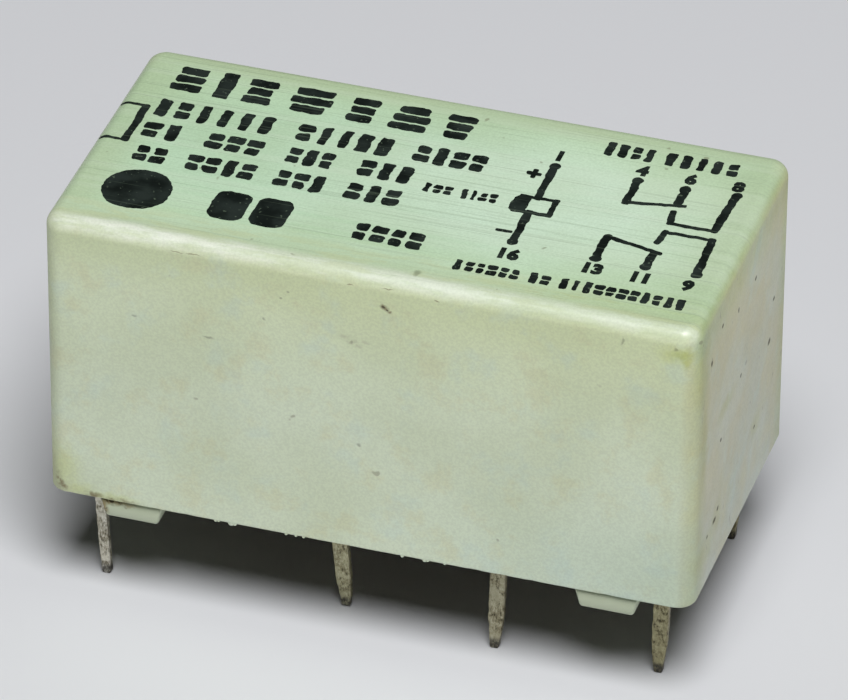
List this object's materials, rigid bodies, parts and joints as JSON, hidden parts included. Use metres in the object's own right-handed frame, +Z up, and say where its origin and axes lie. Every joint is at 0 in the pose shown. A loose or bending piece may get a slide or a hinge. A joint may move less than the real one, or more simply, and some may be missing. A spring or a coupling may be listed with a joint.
{
  "type": "electromagnetic relay",
  "caption": "Sealed box-shaped signal relay with solder pins in dual rows, stand-off feet and a printed circuit diagram on its top; inside, a coil rocks an armature that works leaf contacts.",
  "frame": {"origin": "centre of the footprint, at the tips of the pins, where the relay stands", "axes": "+X along the long side from the coil end to the contact end, +Y across from the row with pin 1 to the row with pin 16, +Z up out of the board"},
  "size_m": [0.0202, 0.01, 0.0134],
  "materials": {
    "cover_plastic": "aged ivory moulding, fine scratches",
    "base_plastic": "aged ivory moulding",
    "epoxy": "poured amber resin",
    "tinned_metal": "dull tinned strip with solder marks",
    "bobbin_plastic": "natural moulding",
    "copper_wire": "enamelled copper",
    "soft_iron": "annealed, nickel plated",
    "magnet_alloy": "sintered, ground",
    "card_plastic": "dark moulding",
    "spring_bronze": "rolled spring strip",
    "contact_silver": "silver alloy",
    "print_ink": "pad-printed black ink"
  },
  "bodies": {
    "housing": {"cover": "cover_plastic", "base_plate": "base_plastic", "sealing_resin": "epoxy", "coil_pin_1": "tinned_metal", "coil_pin_16": "tinned_metal", "com_terminal_4": "tinned_metal", "com_terminal_13": "tinned_metal", "nc_terminal_6": "tinned_metal", "nc_terminal_11": "tinned_metal", "no_terminal_8": "tinned_metal", "no_terminal_9": "tinned_metal", "bobbin": "bobbin_plastic", "winding": "copper_wire", "coil_lead_1": "copper_wire", "coil_lead_16": "copper_wire", "core": "soft_iron", "pole_plate": "soft_iron", "magnet": "magnet_alloy", "armature_cradle": "bobbin_plastic", "nc_contact_front": "contact_silver", "nc_contact_back": "contact_silver", "no_contact_front": "contact_silver", "no_contact_back": "contact_silver", "printed_index": "print_ink", "printed_schematic": "print_ink", "printed_legend": "print_ink"},
    "rocker": {"armature": "soft_iron", "actuator_card": "card_plastic"},
    "leaf_front": {"moving_spring_front": "spring_bronze", "moving_contacts_front": "contact_silver"},
    "leaf_back": {"moving_spring_back": "spring_bronze", "moving_contacts_back": "contact_silver"}
  },
  "joints": [
    {"name": "armature_rock", "type": "hinge", "parent": "housing", "child": "rocker", "pos_m": [-0.0042, 0, 0.01145], "axis": [0, 1, 0], "range_deg": [0, 1.98], "stiffness_Nm_per_rad": 0.0005, "springref_deg": -5.73},
    {"name": "leaf_front_flex", "type": "hinge", "parent": "housing", "child": "leaf_front", "pos_m": [-0.00067, -0.00305, 0.0075], "axis": [0, 1, 0], "range_deg": [0, 3.27]},
    {"name": "leaf_back_flex", "type": "hinge", "parent": "housing", "child": "leaf_back", "pos_m": [-0.00067, 0.00305, 0.0075], "axis": [0, 1, 0], "range_deg": [0, 3.27]}
  ],
  "couplings": [
    {"joint": "leaf_front_flex", "follows": "armature_rock", "ratio": 1.6447},
    {"joint": "leaf_back_flex", "follows": "armature_rock", "ratio": 1.6447}
  ]
}
